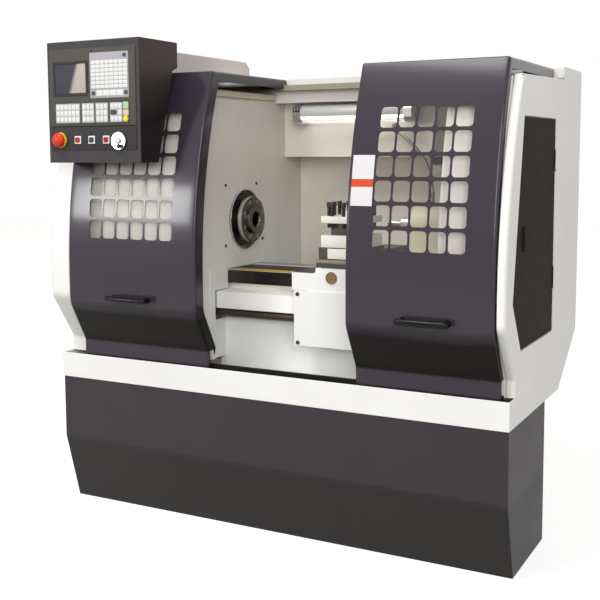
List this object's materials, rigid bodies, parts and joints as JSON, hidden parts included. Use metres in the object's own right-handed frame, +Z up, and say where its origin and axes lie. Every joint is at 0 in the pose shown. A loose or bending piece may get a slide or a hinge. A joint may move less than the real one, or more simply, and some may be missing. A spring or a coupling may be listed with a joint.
{
  "type": "cnc turning lathe",
  "caption": "Enclosed CNC lathe with sliding doors that have grille windows, a hanging control panel, a spindle, a cross slide with tool post, a tailstock and a cabinet base.",
  "frame": {"origin": "centre of the base cabinet's underside, on the floor", "axes": "+X along the spindle from headstock to tailstock, +Y from the doors to the back, +Z up"},
  "size_m": [1.706, 1.0323, 1.686],
  "materials": {
    "charcoal_paint": "satin",
    "white_paint": "satin",
    "interior_paint": "satin",
    "door_paint": "gloss",
    "access_paint": "satin",
    "cast_paint": "satin",
    "bed_iron": "ground ways",
    "spindle_steel": "ground",
    "black_steel": "blackened",
    "screw_steel": "polished",
    "belt_rubber": "matt",
    "motor_paint": "satin",
    "rail_steel": "ground",
    "panel_clear": "clear",
    "lamp_clear": "clear",
    "chrome_trim": "polished",
    "handle_black": "satin",
    "box_paint": "satin",
    "housing_paint": "satin",
    "panel_film": "satin",
    "screen_glass": "gloss",
    "key_film": "satin",
    "bezel_trim": "satin",
    "stop_red": "gloss",
    "button_red": "gloss",
    "button_green": "gloss",
    "dial_silver": "turned",
    "brass": "polished"
  },
  "bodies": {
    "machine": {"base_cabinet": "charcoal_paint", "chip_tray": "white_paint", "bed": "bed_iron", "headstock_casting": "cast_paint", "spindle_bearings": "rail_steel", "bearing_cap": "black_steel", "drive_belt": "belt_rubber", "main_motor": "motor_paint", "left_end_cover": "white_paint", "right_end_cover": "white_paint", "access_hinges": "rail_steel", "front_panels": "interior_paint", "headstock_wall": "interior_paint", "rear_cover": "white_paint", "back_wall": "interior_paint", "top_beam": "white_paint", "roof_panels": "interior_paint", "door_rails": "rail_steel", "carrier_housing": "housing_paint", "z_motor": "motor_paint", "screw_cover": "white_paint", "lamp_tube": "lamp_clear", "lamp_caps": "chrome_trim", "coolant_pipe": "rail_steel", "control_box": "box_paint", "panel_plate": "panel_film", "screen": "screen_glass", "keypads": "key_film", "panel_bezels": "bezel_trim"},
    "left_door": {"left_door_shell": "door_paint", "left_door_pane": "panel_clear", "left_door_handle": "handle_black"},
    "right_door": {"right_door_shell": "door_paint", "right_door_pane": "panel_clear", "right_door_handle": "handle_black"},
    "left_access": {"left_access_door": "access_paint"},
    "right_access": {"right_access_door": "access_paint"},
    "carriage": {"saddle": "interior_paint", "apron_cover": "white_paint", "oil_cap": "brass", "z_nut": "rail_steel", "x_motor": "motor_paint"},
    "cross_carrier": {"cross_slide": "black_steel", "tool_post_base": "spindle_steel"},
    "turret": {"turret_block": "spindle_steel", "clamp_bolts": "black_steel"},
    "lead_screw": {"z_screw": "screw_steel"},
    "cross_screw": {"x_screw": "screw_steel"},
    "main_spindle": {"spindle": "spindle_steel", "spindle_pulley": "rail_steel"},
    "motor_rotor": {"motor_pulley": "rail_steel"},
    "tailstock": {"tailstock_body": "cast_paint"},
    "quill_body": {"quill": "screw_steel", "tailstock_centre": "rail_steel"},
    "handwheel": {"tailstock_handwheel": "chrome_trim"},
    "stop_head": {"emergency_stop": "stop_red"},
    "red_button": {"stop_button": "button_red"},
    "green_button": {"start_button": "button_green"},
    "second_red_button": {"hold_button": "button_red"},
    "pulse_dial": {"hand_dial": "dial_silver"}
  },
  "joints": [
    {"name": "left_door_slide", "type": "slide", "parent": "machine", "child": "left_door", "axis": [1, 0, 0], "range_m": [0, 0.378]},
    {"name": "right_door_slide", "type": "slide", "parent": "machine", "child": "right_door", "axis": [-1, 0, 0], "range_m": [0, 0.175]},
    {"name": "left_access_hinge", "type": "hinge", "parent": "machine", "child": "left_access", "pos_m": [-0.8445, 0.25395, 1.06], "axis": [0, 0, -1], "range_deg": [0, 100]},
    {"name": "right_access_hinge", "type": "hinge", "parent": "machine", "child": "right_access", "pos_m": [0.8445, 0.25395, 1.06], "axis": [0, 0, 1], "range_deg": [0, 100]},
    {"name": "carriage_slide", "type": "slide", "parent": "machine", "child": "carriage", "axis": [1, 0, 0], "range_m": [-0.3, 0.02]},
    {"name": "lead_screw_turn", "type": "hinge", "parent": "machine", "child": "lead_screw", "pos_m": [0, -0.062, 0.736], "axis": [1, 0, 0], "continuous": true},
    {"name": "cross_slide_travel", "type": "slide", "parent": "carriage", "child": "cross_carrier", "axis": [0, 1, 0], "range_m": [-0.13, 0.005]},
    {"name": "cross_screw_turn", "type": "hinge", "parent": "carriage", "child": "cross_screw", "pos_m": [0.204, 0, 0.897], "axis": [0, 1, 0], "continuous": true},
    {"name": "turret_turn", "type": "hinge", "parent": "cross_carrier", "child": "turret", "pos_m": [0.218, 0.01, 1], "axis": [0, 0, 1], "continuous": true},
    {"name": "spindle_turn", "type": "hinge", "parent": "machine", "child": "main_spindle", "pos_m": [-0.3, 0.122, 1.057], "axis": [1, 0, 0], "continuous": true},
    {"name": "motor_turn", "type": "hinge", "parent": "machine", "child": "motor_rotor", "pos_m": [-0.75, 0.06, 0.3], "axis": [1, 0, 0], "continuous": true},
    {"name": "tailstock_slide", "type": "slide", "parent": "machine", "child": "tailstock", "axis": [1, 0, 0], "range_m": [-0.03, 0.09]},
    {"name": "handwheel_turn", "type": "hinge", "parent": "tailstock", "child": "handwheel", "pos_m": [0.636, 0.122, 1.057], "axis": [-1, 0, 0], "range_deg": [0, 5760]},
    {"name": "quill_slide", "type": "slide", "parent": "tailstock", "child": "quill_body", "axis": [-1, 0, 0], "range_m": [0, 0.08]},
    {"name": "stop_press", "type": "slide", "parent": "machine", "child": "stop_head", "axis": [0, 1, 0], "range_m": [0, 0.005], "stiffness_N_per_m": 500, "springref_m": -0.001},
    {"name": "red_press", "type": "slide", "parent": "machine", "child": "red_button", "axis": [0, 1, 0], "range_m": [0, 0.003], "stiffness_N_per_m": 500, "springref_m": -0.001},
    {"name": "green_press", "type": "slide", "parent": "machine", "child": "green_button", "axis": [0, 1, 0], "range_m": [0, 0.003], "stiffness_N_per_m": 500, "springref_m": -0.001},
    {"name": "second_red_press", "type": "slide", "parent": "machine", "child": "second_red_button", "axis": [0, 1, 0], "range_m": [0, 0.003], "stiffness_N_per_m": 500, "springref_m": -0.001},
    {"name": "dial_turn", "type": "hinge", "parent": "machine", "child": "pulse_dial", "pos_m": [-0.456, -0.39, 1.346], "axis": [0, 1, 0], "continuous": true}
  ],
  "couplings": [
    {"joint": "lead_screw_turn", "follows": "carriage_slide", "rad_per_m": 628.32},
    {"joint": "cross_screw_turn", "follows": "cross_slide_travel", "rad_per_m": 1256.6},
    {"joint": "motor_turn", "follows": "spindle_turn", "ratio": 1.4815},
    {"joint": "quill_slide", "follows": "handwheel_turn", "m_per_rad": 0.00079577}
  ]
}
